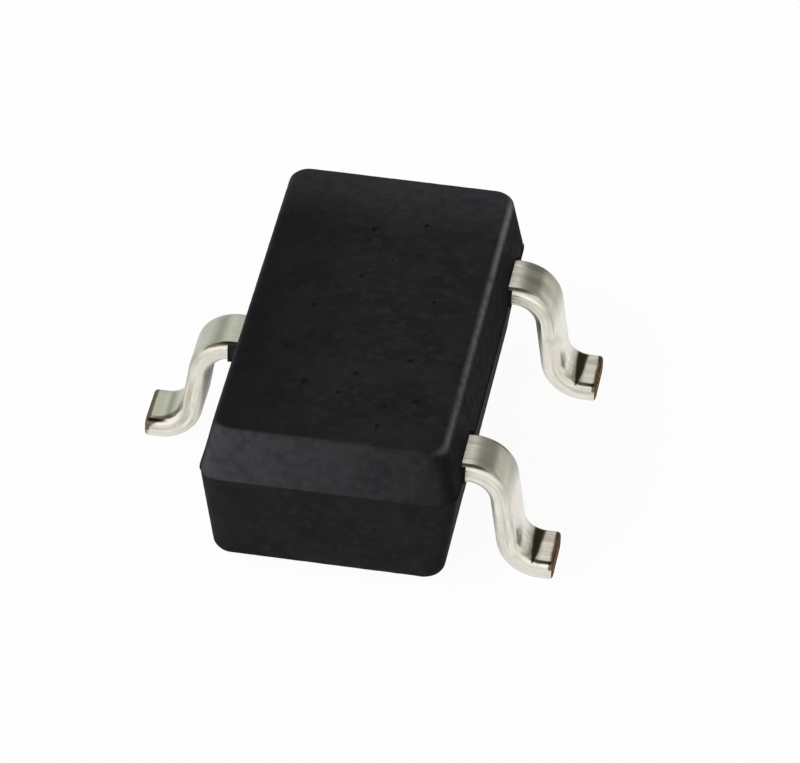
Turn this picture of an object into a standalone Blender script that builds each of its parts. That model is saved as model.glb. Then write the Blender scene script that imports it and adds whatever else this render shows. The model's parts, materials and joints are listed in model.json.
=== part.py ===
"""A three-lead Hall effect sensor in a small black moulded package, for soldering on a circuit board.

The two signal leads leave the moulding at +X and the ground lead at -X. +Y runs along the moulding, +Z is up,
and the origin is the middle of the footprint on the plane that the three feet stand on.
"""

import math

import bmesh
import bpy
from mathutils import Matrix, Vector

MM = 0.001

# The moulding. Its four sides lean in above and below the parting plane, where the mould opens.
BODY_LENGTH = 2.96 * MM
BODY_WIDTH = 1.66 * MM
UPPER_HEIGHT = 0.39 * MM
LOWER_HEIGHT = 0.68 * MM
STANDOFF = 0.09 * MM
UPPER_SIDE_DRAFT = math.radians(12)
UPPER_END_DRAFT = math.radians(4.5)
LOWER_DRAFT = math.radians(7)
CORNER_RADIUS = 0.13 * MM
TOP_EDGE_RADIUS = 0.04 * MM
BOTTOM_EDGE_RADIUS = 0.065 * MM
CORNER_STEPS = 4
TOP_EDGE_STEPS = 3
BOTTOM_EDGE_STEPS = 4

# The resin that seeped along each lead as far as the bar that closed the mould there.
FLASH_REACH = 0.04 * MM
FLASH_THICKNESS = 0.025 * MM

# The leads, cut from one strip and bent down to the board.
LEAD_PITCH = 0.95 * MM
LEAD_WIDTH = 0.375 * MM
LEAD_THICKNESS = 0.14 * MM
LEAD_EDGE_RADIUS = 0.04 * MM
LEAD_EDGE_STEPS = 2
LEAD_BELOW_PARTING = 0.06 * MM
LEAD_SHOULDER = 0.025 * MM
UPPER_BEND_RADIUS = 0.22 * MM
LOWER_BEND_RADIUS = 0.22 * MM
LEG_SLANT = math.radians(8.5)
FOOT_LENGTH = 0.09 * MM
BEND_STEPS = 6

# The same strip inside the moulding: a post on each signal lead, and the sunken pad on the ground lead.
POST_REACH = 0.33 * MM
POST_LENGTH = 0.14 * MM
POST_WIDTH = 0.56 * MM
POST_OFFSET = 0.12 * MM
SHOULDER_TAPER = 0.06 * MM
PAD_WIDTH = 1.20 * MM
PAD_GAP = 0.10 * MM
PAD_DOWNSET = 0.20 * MM
RAMP_LENGTH = 0.15 * MM
GROUND_INNER_LENGTH = 0.20 * MM

# The chip, the glue under it and the wires on it.
GLUE_MARGIN = 0.05 * MM
GLUE_THICKNESS = 0.02 * MM
GLUE_FILLET = 0.02 * MM
CHIP_THICKNESS = 0.18 * MM
WIRE_DIAMETER = 0.025 * MM
WIRE_POINTS = 11
BALL_DIAMETER = 0.08 * MM
BALL_HEIGHT = 0.03 * MM
BALL_INSET = 0.08 * MM
BALL_TAPER = 0.8
BALL_SIDES = 10
STITCH_LENGTH = 0.09 * MM
STITCH_WIDTH = 0.05 * MM
STITCH_HEIGHT = 0.016 * MM
LOOP_HEIGHT = 0.09 * MM

# The resin sets hard on everything inside it. This hairline keeps the solids apart.
CLEARANCE = 0.003 * MM

# Heights and places that follow from the sizes above.
bottom_z = STANDOFF
parting_z = bottom_z + LOWER_HEIGHT
top_z = parting_z + UPPER_HEIGHT
side_x = BODY_WIDTH / 2
lead_z = parting_z - LEAD_BELOW_PARTING + LEAD_THICKNESS / 2
lead_top_z = lead_z + LEAD_THICKNESS / 2
foot_z = LEAD_THICKNESS / 2
post_x = side_x - POST_REACH
pad_z = lead_z - PAD_DOWNSET
pad_top_z = pad_z + LEAD_THICKNESS / 2
pad_right_x = post_x - PAD_GAP
ramp_x = side_x - GROUND_INNER_LENGTH
pad_left_x = ramp_x - RAMP_LENGTH - SHOULDER_TAPER
pad_length = pad_right_x + pad_left_x
pad_middle_x = (pad_right_x - pad_left_x) / 2
chip_length = pad_length - 2 * (GLUE_MARGIN + GLUE_FILLET)
chip_width = PAD_WIDTH - 2 * (GLUE_MARGIN + GLUE_FILLET) - STITCH_LENGTH - GLUE_MARGIN
chip_middle_y = (STITCH_LENGTH + GLUE_MARGIN) / 2
glue_z = pad_top_z + CLEARANCE
chip_z = glue_z + GLUE_THICKNESS + CLEARANCE
chip_top_z = chip_z + CHIP_THICKNESS


def material(name, colour, roughness, metallic=0.0):
    """One finish, in the colour that the photograph or the trade gives it."""
    made = bpy.data.materials.new(name)
    made.use_nodes = True
    shader = made.node_tree.nodes["Principled BSDF"]
    shader.inputs["Base Color"].default_value = (*colour, 1.0)
    shader.inputs["Roughness"].default_value = roughness
    shader.inputs["Metallic"].default_value = metallic
    return made


def collection(name, inside=None):
    made = bpy.data.collections.new(name)
    (inside or bpy.context.scene.collection).children.link(made)
    return made


def piece(name, bm, finish, group):
    """Turns a bmesh into a named object and puts it in its collection."""
    bmesh.ops.recalc_face_normals(bm, faces=bm.faces)
    mesh = bpy.data.meshes.new(name)
    bm.to_mesh(mesh)
    bm.free()
    made = bpy.data.objects.new(name, mesh)
    if finish:
        mesh.materials.append(finish)
    group.objects.link(made)
    return made


def combine(target, others, operation):
    """Cuts or joins one closed mesh with all the closed meshes of a collection in one go."""
    for other in others.objects:
        other.hide_render = True
        other.display_type = "WIRE"
    boolean = target.modifiers.new(f"{operation.lower()} {others.name}", "BOOLEAN")
    boolean.operation = operation
    boolean.solver = "EXACT"
    boolean.operand_type = "COLLECTION"
    boolean.collection = others


def block(bm, size, centre):
    """A box, given back as its corners, so that one end can be drawn in."""
    corners = bmesh.ops.create_cube(bm, size=1.0)["verts"]
    bmesh.ops.scale(bm, vec=size, verts=corners)
    bmesh.ops.translate(bm, vec=centre, verts=corners)
    return corners


def draw_in(verts, inset_x, inset_y):
    """Brings the corners of one end of a box in towards its middle line."""
    for vert in verts:
        vert.co.x -= math.copysign(inset_x, vert.co.x)
        vert.co.y -= math.copysign(inset_y, vert.co.y)


def at_height(items, z):
    """The edges or faces that lie flat at one height."""
    return [item for item in items if all(abs(v.co.z - z) < CLEARANCE for v in item.verts)]


def round_edges(bm, edges, radius, segments):
    bmesh.ops.bevel(
        bm, geom=edges, offset=radius, segments=segments, profile=0.5, affect="EDGES", clamp_overlap=True
    )


def moulding(group, finish):
    """The black moulding before anything is let into it: two drafted halves that meet at the parting plane."""
    bm = bmesh.new()
    corners = block(bm, (BODY_WIDTH, BODY_LENGTH, LOWER_HEIGHT), (0.0, 0.0, parting_z - LOWER_HEIGHT / 2))
    lower_inset = LOWER_HEIGHT * math.tan(LOWER_DRAFT)
    draw_in([v for v in corners if v.co.z < parting_z - CLEARANCE], lower_inset, lower_inset)
    belt = at_height(bm.faces, parting_z)
    lid = bmesh.ops.extrude_face_region(bm, geom=belt)["geom"]
    lid_corners = [item for item in lid if isinstance(item, bmesh.types.BMVert)]
    bmesh.ops.delete(bm, geom=belt, context="FACES_ONLY")
    draw_in(lid_corners, UPPER_HEIGHT * math.tan(UPPER_SIDE_DRAFT), UPPER_HEIGHT * math.tan(UPPER_END_DRAFT))
    bmesh.ops.translate(bm, vec=(0.0, 0.0, UPPER_HEIGHT), verts=lid_corners)
    uprights = [e for e in bm.edges if abs(e.verts[0].co.z - e.verts[1].co.z) > CLEARANCE]
    round_edges(bm, uprights, CORNER_RADIUS, CORNER_STEPS)
    round_edges(bm, at_height(bm.edges, top_z), min(TOP_EDGE_RADIUS, CORNER_RADIUS / 2), TOP_EDGE_STEPS)
    bottom_radius = min(BOTTOM_EDGE_RADIUS, CORNER_RADIUS / 2)
    round_edges(bm, at_height(bm.edges, bottom_z), bottom_radius, BOTTOM_EDGE_STEPS)
    return piece("package_body", bm, finish, group)


def flash(name, side, y, group):
    """The resin beside one lead's root. The lead's own space, cut later, leaves a thin web on each side of it."""
    reach = POST_REACH / 2
    bm = bmesh.new()
    block(
        bm,
        (reach + FLASH_REACH, LEAD_WIDTH + 2 * FLASH_THICKNESS, LEAD_THICKNESS),
        (side * (side_x + (FLASH_REACH - reach) / 2), y, lead_z),
    )
    piece(name, bm, None, group)


def strip_start(bm, x, y, z, width):
    """The first cross edge of a lead's strip, before it has any thickness."""
    ends = [bm.verts.new((x, y + half, z)) for half in (-width / 2, width / 2)]
    return bm.edges.new(ends)


def run_to(bm, edge, x, y, z, width):
    """Carries the strip straight on to a new cross edge, which may be wider or set aside."""
    grown = bmesh.ops.extrude_edge_only(bm, edges=[edge])["geom"]
    ends = sorted((item for item in grown if isinstance(item, bmesh.types.BMVert)), key=lambda v: v.co.y)
    for vert, half in zip(ends, (-width / 2, width / 2)):
        vert.co = (x, y + half, z)
    return next(e for e in ends[0].link_edges if e.other_vert(ends[0]) is ends[1])


def bend(bm, edge, centre, angle):
    """Carries the strip round a bend. A positive angle turns a strip that runs to +X down."""
    turned = bmesh.ops.spin(
        bm, geom=[edge, *edge.verts], cent=centre, axis=(0.0, 1.0, 0.0), angle=angle, steps=BEND_STEPS
    )
    return next(item for item in turned["geom_last"] if isinstance(item, bmesh.types.BMEdge))


def gull_wing(bm, edge, y, width):
    """The part of a lead outside the moulding: shoulder, upper bend, leg, lower bend and foot."""
    turn = math.pi / 2 - LEG_SLANT
    fall = (UPPER_BEND_RADIUS + LOWER_BEND_RADIUS) * (1 - math.cos(turn))
    leg = (lead_z - foot_z - fall) / math.sin(turn)
    x = side_x + LEAD_SHOULDER
    edge = run_to(bm, edge, x, y, lead_z, width)
    edge = bend(bm, edge, (x, y, lead_z - UPPER_BEND_RADIUS), turn)
    x += UPPER_BEND_RADIUS * math.sin(turn) + leg * math.cos(turn)
    z = foot_z + LOWER_BEND_RADIUS * (1 - math.cos(turn))
    edge = run_to(bm, edge, x, y, z, width)
    x += LOWER_BEND_RADIUS * math.sin(turn)
    edge = bend(bm, edge, (x, y, foot_z + LOWER_BEND_RADIUS), -turn)
    run_to(bm, edge, x + FOOT_LENGTH, y, foot_z, width)


def thicken(strip, extra):
    """Gives the strip its thickness and rolls over its long edges, but not the cuts at its two ends."""
    solidify = strip.modifiers.new("thickness", "SOLIDIFY")
    solidify.thickness = LEAD_THICKNESS + 2 * extra
    solidify.offset = 0.0
    solidify.use_even_offset = True
    solidify.use_quality_normals = True
    rounding = strip.modifiers.new("rolled edges", "BEVEL")
    rounding.limit_method = "WEIGHT"
    rounding.width = LEAD_EDGE_RADIUS
    rounding.segments = LEAD_EDGE_STEPS


def weigh_long_edges(bm):
    """Marks the strip's long edges, which are those along its outline that aren't cut across."""
    weight = bm.edges.layers.float.new("bevel_weight_edge")
    for edge in bm.edges:
        along = edge.verts[0].co - edge.verts[1].co
        cut_across = abs(along.x) + abs(along.z) < CLEARANCE
        edge[weight] = 1.0 if edge.is_boundary and not cut_across else 0.0


def signal_lead(name, side, group, finish, extra=0.0):
    """A lead at +X, with a post inside that its wire is stitched to. Side is 1 at +Y and -1 at -Y."""
    y = side * LEAD_PITCH
    post_y = side * (LEAD_PITCH - POST_OFFSET)
    width = LEAD_WIDTH + 2 * extra
    post_width = POST_WIDTH + 2 * extra
    bm = bmesh.new()
    edge = strip_start(bm, post_x - extra, post_y, lead_z, post_width)
    edge = run_to(bm, edge, post_x + POST_LENGTH + extra, post_y, lead_z, post_width)
    edge = run_to(bm, edge, post_x + POST_LENGTH + SHOULDER_TAPER, y, lead_z, width)
    gull_wing(bm, edge, y, width)
    weigh_long_edges(bm)
    thicken(piece(name, bm, finish, group), extra)


def ground_lead(name, group, finish, extra=0.0):
    """The middle lead at -X, which carries the pad under the chip. It is drawn towards +X and turned round."""
    width = LEAD_WIDTH + 2 * extra
    pad_width = PAD_WIDTH + 2 * extra
    neck_x = pad_left_x + SHOULDER_TAPER
    bm = bmesh.new()
    edge = strip_start(bm, -pad_right_x - extra, 0.0, pad_z, pad_width)
    edge = run_to(bm, edge, pad_left_x + extra, 0.0, pad_z, pad_width)
    edge = run_to(bm, edge, neck_x, 0.0, pad_z, width)
    edge = run_to(bm, edge, ramp_x, 0.0, lead_z, width)
    gull_wing(bm, edge, 0.0, width)
    weigh_long_edges(bm)
    made = piece(name, bm, finish, group)
    made.rotation_euler.z = math.pi
    thicken(made, extra)


def glue(name, group, finish, extra=0.0):
    """The thin bed of silver-filled glue under the chip, squeezed out a little past its sides."""
    rim = 2 * (GLUE_FILLET + extra)
    bm = bmesh.new()
    corners = block(
        bm,
        (chip_length + rim, chip_width + rim, GLUE_THICKNESS + 2 * extra),
        (0.0, 0.0, GLUE_THICKNESS / 2),
    )
    draw_in([v for v in corners if v.co.z > 0.0], GLUE_FILLET / 2, GLUE_FILLET / 2)
    made = piece(name, bm, finish, group)
    made.location = (pad_middle_x, chip_middle_y, glue_z)


def chip(name, group, finish, extra=0.0):
    """The sawn silicon chip, with the Hall plate and its amplifier in its upper face."""
    bm = bmesh.new()
    block(
        bm,
        (chip_length + 2 * extra, chip_width + 2 * extra, CHIP_THICKNESS + 2 * extra),
        (0.0, 0.0, CHIP_THICKNESS / 2),
    )
    made = piece(name, bm, finish, group)
    made.location = (pad_middle_x, chip_middle_y, chip_z)


def wire_route(start, end):
    """Points of a bond wire that rises steeply off its ball and comes down slowly to its stitch."""
    crest = 1 / 3
    height = LOOP_HEIGHT / (crest * (1 - crest) ** 2)
    points = []
    for step in range(WIRE_POINTS):
        t = step / (WIRE_POINTS - 1)
        point = start.lerp(end, t)
        point.z += height * t * (1 - t) ** 2
        points.append(point)
    return points


def wire_tube(name, points, diameter, group):
    """A round wire along its points, as a closed mesh that can be joined to its two ends."""
    curve = bpy.data.curves.new(name, "CURVE")
    curve.dimensions = "3D"
    curve.bevel_depth = diameter / 2
    curve.bevel_resolution = 1
    curve.use_fill_caps = True
    spline = curve.splines.new("POLY")
    spline.points.add(len(points) - 1)
    for target, point in zip(spline.points, points):
        target.co = (*point, 1.0)
    drawn = bpy.data.objects.new(name, curve)
    group.objects.link(drawn)
    bpy.context.view_layer.update()
    evaluated = drawn.evaluated_get(bpy.context.evaluated_depsgraph_get())
    bm = bmesh.new()
    bm.from_mesh(bpy.data.meshes.new_from_object(evaluated))
    bpy.data.objects.remove(drawn)
    bpy.data.curves.remove(curve)
    bmesh.ops.remove_doubles(bm, verts=bm.verts, dist=CLEARANCE / 10)
    return piece(name, bm, None, group)


def bond_wire(name, ball_at, stitch_at, group, ends, finish, extra=0.0):
    """A gold wire with its squashed ball on the chip and its flat stitch on the strip, as one piece."""
    heading = math.atan2(stitch_at.y - ball_at.y, stitch_at.x - ball_at.x)
    start = ball_at + Vector((0.0, 0.0, BALL_HEIGHT / 2))
    end = stitch_at + Vector((0.0, 0.0, STITCH_HEIGHT))
    made = wire_tube(name, wire_route(start, end), WIRE_DIAMETER + 2 * extra, group)
    if finish:
        made.data.materials.append(finish)

    bm = bmesh.new()
    bmesh.ops.create_cone(
        bm,
        cap_ends=True,
        segments=BALL_SIDES,
        radius1=BALL_DIAMETER / 2 + extra,
        radius2=BALL_DIAMETER / 2 * BALL_TAPER + extra,
        depth=BALL_HEIGHT + 2 * extra,
        matrix=Matrix.Translation(start),
    )
    piece(f"{name}_ball", bm, None, ends)

    bm = bmesh.new()
    block(
        bm,
        (STITCH_LENGTH + 2 * extra, STITCH_WIDTH + 2 * extra, STITCH_HEIGHT + 2 * extra),
        (0.0, 0.0, STITCH_HEIGHT / 2),
    )
    bmesh.ops.rotate(bm, cent=(0.0, 0.0, 0.0), matrix=Matrix.Rotation(heading, 3, "Z"), verts=bm.verts)
    bmesh.ops.translate(bm, vec=stitch_at, verts=bm.verts)
    piece(f"{name}_stitch", bm, None, ends)
    combine(made, ends, "UNION")


def wire_ends():
    """Where each wire starts on the chip and where it is stitched down."""
    ball_x = pad_middle_x + chip_length / 2 - BALL_INSET
    ball_y = chip_width / 2 - BALL_INSET
    ball_z = chip_top_z + CLEARANCE
    post_stitch_x = post_x + POST_LENGTH / 2
    post_stitch_y = LEAD_PITCH - POST_OFFSET
    post_stitch_z = lead_top_z + CLEARANCE
    pad_stitch_y = (GLUE_MARGIN + STITCH_LENGTH) / 2 - PAD_WIDTH / 2
    return {
        "supply_bond_wire": (
            Vector((ball_x, chip_middle_y + ball_y, ball_z)),
            Vector((post_stitch_x, post_stitch_y, post_stitch_z)),
        ),
        "output_bond_wire": (
            Vector((ball_x, chip_middle_y - ball_y, ball_z)),
            Vector((post_stitch_x, -post_stitch_y, post_stitch_z)),
        ),
        "ground_bond_wire": (
            Vector((pad_middle_x - chip_length / 4, chip_middle_y - ball_y, ball_z)),
            Vector((pad_middle_x - chip_length / 4, pad_stitch_y, pad_top_z + CLEARANCE)),
        ),
    }


def insides(group, cutters, finishes, label="", extra=0.0):
    """Everything that the moulding holds: once as the pieces, and once, a hairline larger, as their spaces."""
    strip, silver_glue, silicon, gold = finishes
    signal_lead(f"supply_lead{label}", 1, group, strip, extra)
    signal_lead(f"output_lead{label}", -1, group, strip, extra)
    ground_lead(f"ground_lead{label}", group, strip, extra)
    glue(f"die_attach{label}", group, silver_glue, extra)
    chip(f"hall_die{label}", group, silicon, extra)
    for name, (ball_at, stitch_at) in wire_ends().items():
        ends = collection(f"{name}{label}_ends", cutters)
        bond_wire(f"{name}{label}", ball_at, stitch_at, group, ends, gold, extra)


def build():
    for old in list(bpy.data.objects):
        bpy.data.objects.remove(old)
    parts = collection("hall_effect_sensor")
    cutters = collection("cutters")
    seeped = collection("seeped_resin", cutters)
    spaces = collection("spaces", cutters)

    resin = material("moulding resin", (0.017, 0.017, 0.018), 0.55)
    tinned = material("tinned copper", (0.66, 0.63, 0.56), 0.35, 1.0)
    silver_glue = material("silver glue", (0.45, 0.44, 0.42), 0.6, 0.5)
    silicon = material("silicon", (0.20, 0.19, 0.24), 0.25, 0.6)
    gold = material("gold", (0.90, 0.62, 0.22), 0.25, 1.0)

    body = moulding(parts, resin)
    flash("supply_flash", 1, LEAD_PITCH, seeped)
    flash("output_flash", 1, -LEAD_PITCH, seeped)
    flash("ground_flash", -1, 0.0, seeped)
    combine(body, seeped, "UNION")
    insides(spaces, cutters, (None, None, None, None), "_space", CLEARANCE)
    combine(body, spaces, "DIFFERENCE")
    insides(parts, cutters, (tinned, silver_glue, silicon, gold))

    footprint = bpy.data.objects.new("footprint_centre", None)
    parts.objects.link(footprint)
    for made in parts.objects:
        if made is not footprint:
            made.parent = footprint


build()
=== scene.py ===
import json
import math

import bmesh
import bpy
from mathutils import Matrix, Vector

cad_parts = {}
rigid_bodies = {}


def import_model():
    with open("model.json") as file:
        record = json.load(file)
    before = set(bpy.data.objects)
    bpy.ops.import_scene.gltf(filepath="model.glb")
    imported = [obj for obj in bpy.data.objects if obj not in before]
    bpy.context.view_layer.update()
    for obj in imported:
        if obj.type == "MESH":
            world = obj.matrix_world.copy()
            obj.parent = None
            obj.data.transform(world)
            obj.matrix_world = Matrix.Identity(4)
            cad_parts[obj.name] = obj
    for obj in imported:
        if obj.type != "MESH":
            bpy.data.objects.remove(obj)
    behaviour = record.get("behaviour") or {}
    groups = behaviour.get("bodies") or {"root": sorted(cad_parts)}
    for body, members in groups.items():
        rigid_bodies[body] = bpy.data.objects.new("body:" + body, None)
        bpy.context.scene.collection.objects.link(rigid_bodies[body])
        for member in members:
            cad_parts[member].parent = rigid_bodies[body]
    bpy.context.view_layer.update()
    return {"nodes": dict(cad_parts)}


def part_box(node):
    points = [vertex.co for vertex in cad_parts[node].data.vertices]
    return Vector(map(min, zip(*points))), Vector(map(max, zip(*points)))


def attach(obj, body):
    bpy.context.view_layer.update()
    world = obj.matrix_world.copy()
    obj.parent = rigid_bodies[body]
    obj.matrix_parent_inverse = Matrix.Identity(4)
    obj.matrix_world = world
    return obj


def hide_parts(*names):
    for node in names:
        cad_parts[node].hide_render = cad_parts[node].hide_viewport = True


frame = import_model()
bpy.ops.object.select_all(action="DESELECT")

MM = 0.001

# CAMERA
# A long lens close over the sensor, a little to the right of its front end and tipped well down, with the
# camera turned slightly anticlockwise. The middle of the picture lies beside the middle of the parting plane.
AZIMUTH = math.radians(8.615)
ELEVATION = math.radians(37.618)
ROLL = math.radians(1.828)
CAMERA_DISTANCE = 40.59 * MM
LENS = 280.8
AIM_HEIGHT = 0.76 * MM
AIM_RIGHT = 0.223 * MM
AIM_DOWN = 0.172 * MM

turned = (
    Matrix.Rotation(AZIMUTH, 3, "Z")
    @ Matrix.Rotation(math.pi / 2 - ELEVATION, 3, "X")
    @ Matrix.Rotation(ROLL, 3, "Z")
)
standpoint = Vector((0.0, 0.0, AIM_HEIGHT)) + turned @ Vector((AIM_RIGHT, -AIM_DOWN, CAMERA_DISTANCE))
bpy.ops.object.camera_add(location=standpoint, rotation=turned.to_euler())
camera = bpy.context.object
camera.data.sensor_width = 36.0
camera.data.lens = LENS
camera.data.clip_start = 1.0 * MM
camera.data.clip_end = 1.0
bpy.context.scene.camera = camera

# SIGNAL LEADS
# The supply and output leads are blanked from thin copper strip with the rest of the lead frame, bent down to
# the board after moulding and plated with tin. The last cut, at the end of each foot, stays bare copper.
LEAD_PITCH = 0.95 * MM
LEAD_WIDTH = 0.375 * MM
LEAD_THICKNESS = 0.14 * MM
ROLLED_EDGE = 0.042 * MM
LEAD_SHOULDER = 0.025 * MM
UPPER_BEND_RADIUS = 0.22 * MM
LOWER_BEND_RADIUS = 0.22 * MM
LEG_SLANT = math.radians(8.5)
FOOT_LENGTH = 0.09 * MM
BODY_HALF_WIDTH = 0.83 * MM
POST_REACH = 0.33 * MM
POST_LENGTH = 0.14 * MM
POST_WIDTH = 0.56 * MM
POST_OFFSET = 0.12 * MM
SHOULDER_TAPER = 0.06 * MM
BEND_STEPS = 40
CUT_SPACING = 0.012 * MM
WIDTH_CUTS = 8
GROOVE_HEIGHTS = (0.011 * MM, -0.016 * MM)
GROOVE_HALF_WIDTH = 0.008 * MM
GROOVE_DEPTH = 0.0025 * MM
TRIM_ROUNDING = 0.022 * MM
TRIM_STEPS = 4
TRIM_RIM = 0.010 * MM
TRIM_DEPTH = 0.004 * MM
SMEAR_LENGTH = 0.040 * MM
HOLLOW_TURN = math.radians(34)
BEND_REFLECTION_MIDDLE = 0.76
BEND_REFLECTION_SPREAD = 0.52
REFLECTION_LINE_LEAN = 28.0
REFLECTION_LINE_SPREAD = 26.0
REFLECTION_LINE_REACH = 0.12 * MM
SOIL_AT_CUT = 0.028 * MM
SPOT_SPAN = 0.80
SPOT_TAPER = 0.35
SPOT_DEPTH = 1.15
DULL_FADE = 0.15
LINE_RUN_IN = 0.12 * MM
LINE_INSET = 0.27
LINE_OUTER = 0.18
LINE_INNER = 0.20
LINE_WIDENING = 0.25
LINE_LENGTH = 0.42 * MM
LINE_FADE = 0.06 * MM
HAIR = 0.0005 * MM

lead_top_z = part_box("supply_lead")[1].z
lead_z = lead_top_z - LEAD_THICKNESS / 2
foot_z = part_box("supply_lead")[0].z + LEAD_THICKNESS / 2
bend_turn = math.pi / 2 - LEG_SLANT
bends_fall = (UPPER_BEND_RADIUS + LOWER_BEND_RADIUS) * (1 - math.cos(bend_turn))
leg_length = (lead_z - foot_z - bends_fall) / math.sin(bend_turn)


def edit(made):
    """Opens one object alone in edit mode."""
    bpy.ops.object.select_all(action="DESELECT")
    made.select_set(True)
    bpy.context.view_layer.objects.active = made
    bpy.ops.object.mode_set(mode="EDIT")


def leave_edit():
    bpy.ops.object.mode_set(mode="OBJECT")


def pick(kind, chosen):
    """Selects just those verts, edges or faces of the open mesh that pass a test."""
    bpy.context.tool_settings.mesh_select_mode = (kind == "verts", kind == "edges", kind == "faces")
    mesh = bpy.context.edit_object.data
    bm = bmesh.from_edit_mesh(mesh)
    for part in (bm.faces, bm.edges, bm.verts):
        for item in part:
            item.select = False
    for item in getattr(bm, kind):
        if chosen(item):
            item.select_set(True)
    bm.select_flush_mode()
    bmesh.update_edit_mesh(mesh)


def slice_all(point, normal):
    """One cut right across the open mesh, which stays whole."""
    bpy.ops.mesh.select_all(action="SELECT")
    bpy.ops.mesh.bisect(plane_co=point, plane_no=normal, threshold=HAIR / 10)


def settle(made):
    """Puts an object's place, turn and size into its mesh."""
    bpy.ops.object.select_all(action="DESELECT")
    made.select_set(True)
    bpy.context.view_layer.objects.active = made
    bpy.ops.object.transform_apply(location=True, rotation=True, scale=True)


def forming_line(name, start_x, start_z, moves):
    """The middle line of a formed strip. Each move is a run's length or a bend's radius, and its turn."""
    points = [Vector((start_x, 0.0, start_z))]
    heading = 0.0
    for size, turn in moves:
        steps = BEND_STEPS if turn else 1
        stride = 2 * size * math.sin(abs(turn) / steps / 2) if turn else size
        for _ in range(steps):
            heading += turn / steps / 2
            points.append(points[-1] + Vector((stride * math.cos(heading), 0.0, stride * math.sin(heading))))
            heading += turn / steps / 2
    curve = bpy.data.curves.new(name, "CURVE")
    curve.dimensions = "3D"
    spline = curve.splines.new("POLY")
    spline.points.add(len(points) - 1)
    for target, point in zip(spline.points, points):
        target.co = (*point, 1.0)
    line = bpy.data.objects.new(name, curve)
    bpy.context.scene.collection.objects.link(line)
    return line, sum((b - a).length for a, b in zip(points, points[1:]))


gull_wing = [
    (UPPER_BEND_RADIUS, -bend_turn),
    (leg_length, 0.0),
    (LOWER_BEND_RADIUS, bend_turn),
    (FOOT_LENGTH, 0.0),
]


def blank(name, middle_y, width, length):
    """The inner end of a flat blank, from x = 0, as a plain block of strip."""
    bpy.ops.mesh.primitive_cube_add(
        size=1.0, location=(length / 2, middle_y, 0.0), scale=(length, width, LEAD_THICKNESS)
    )
    made = bpy.context.object
    made.name = made.data.name = name
    settle(made)
    return made


def draw_out(step, width_factor=1.0, middle_y=0.0, thickness_factor=1.0):
    """Carries the blank's outer end face on, and draws it in about the lead's own middle."""
    bpy.ops.mesh.extrude_region_move(TRANSFORM_OT_translate={"value": step})
    if (width_factor, thickness_factor) != (1.0, 1.0):
        bpy.ops.transform.resize(
            value=(1.0, width_factor, thickness_factor), center_override=(0.0, middle_y, 0.0)
        )


def roll_edges():
    """Rounds the long edges that the blanking punch rolled over, but not the cuts across the strip."""
    half = LEAD_THICKNESS / 2

    def is_long(edge):
        a, b = (v.co for v in edge.verts)
        flat = abs(a.z - b.z) < HAIR and abs(abs(a.z) - half) < HAIR
        return flat and abs(a.x - b.x) > HAIR and edge.calc_face_angle(0.0) > math.radians(45)

    pick("edges", is_long)
    bpy.ops.mesh.bevel(offset=ROLLED_EDGE, segments=7, profile=0.5, affect="EDGES")


def score_sides(middle_y, from_x, length):
    """The lines that blanking leaves along both cut sides where they show, and cuts across for the stains."""
    for height in GROOVE_HEIGHTS:
        for shift in (-GROOVE_HALF_WIDTH, 0.0, GROOVE_HALF_WIDTH):
            slice_all((0.0, 0.0, height + shift), (0.0, 0.0, 1.0))
    flat_width = LEAD_WIDTH - 2 * ROLLED_EDGE
    for cut in range(1, WIDTH_CUTS):
        slice_all((0.0, middle_y + (cut / WIDTH_CUTS - 0.5) * flat_width, 0.0), (0.0, 1.0, 0.0))
    cuts = int((length - from_x) / CUT_SPACING)
    for cut in range(cuts):
        slice_all((from_x + cut * CUT_SPACING, 0.0, 0.0), (1.0, 0.0, 0.0))
    for side in (-1, 1):
        flank = middle_y + side * LEAD_WIDTH / 2
        pick(
            "verts",
            lambda v: v.co.x > from_x
            and abs(v.co.y - flank) < HAIR
            and any(abs(v.co.z - height) < HAIR for height in GROOVE_HEIGHTS),
        )
        bpy.ops.transform.translate(value=(0.0, -side * GROOVE_DEPTH, 0.0))


def trim_end(made, middle_y, length):
    """The last cut. It rounds the strip's end a little and tears its core, and leaves both as bare copper."""
    halves = [LEAD_WIDTH / 2, LEAD_THICKNESS / 2]

    def draw_end(forward, inward):
        width_factor, thickness_factor = ((half - inward) / half for half in halves)
        draw_out((forward, 0.0, 0.0), width_factor, middle_y, thickness_factor)
        halves[:] = [half - inward for half in halves]

    pick("faces", lambda f: f.normal.x > 0.9 and f.calc_center_median().x > length - TRIM_ROUNDING - HAIR)
    arc = [step / TRIM_STEPS * math.pi / 2 for step in range(TRIM_STEPS + 1)]
    for before, after in zip(arc, arc[1:]):
        forward = TRIM_ROUNDING * (math.sin(after) - math.sin(before))
        draw_end(forward, TRIM_ROUNDING * (math.cos(before) - math.cos(after)))
    draw_end(0.0, TRIM_RIM)
    draw_end(-TRIM_DEPTH, TRIM_DEPTH)
    bm = bmesh.from_edit_mesh(made.data)
    bare = bm.verts.layers.float.new("bare_copper")
    for vert in bm.verts:
        vert[bare] = 1.0 if vert.co.x > length - TRIM_ROUNDING / 3 else 0.0
    bmesh.update_edit_mesh(made.data)


def kept(value):
    """A number held between nothing and one."""
    return min(1.0, max(0.0, value))


def near(value, middle, spread):
    """One at the middle, and down to nothing at a spread from it on either side."""
    return max(0.0, 1.0 - abs(value - middle) / spread)


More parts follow.
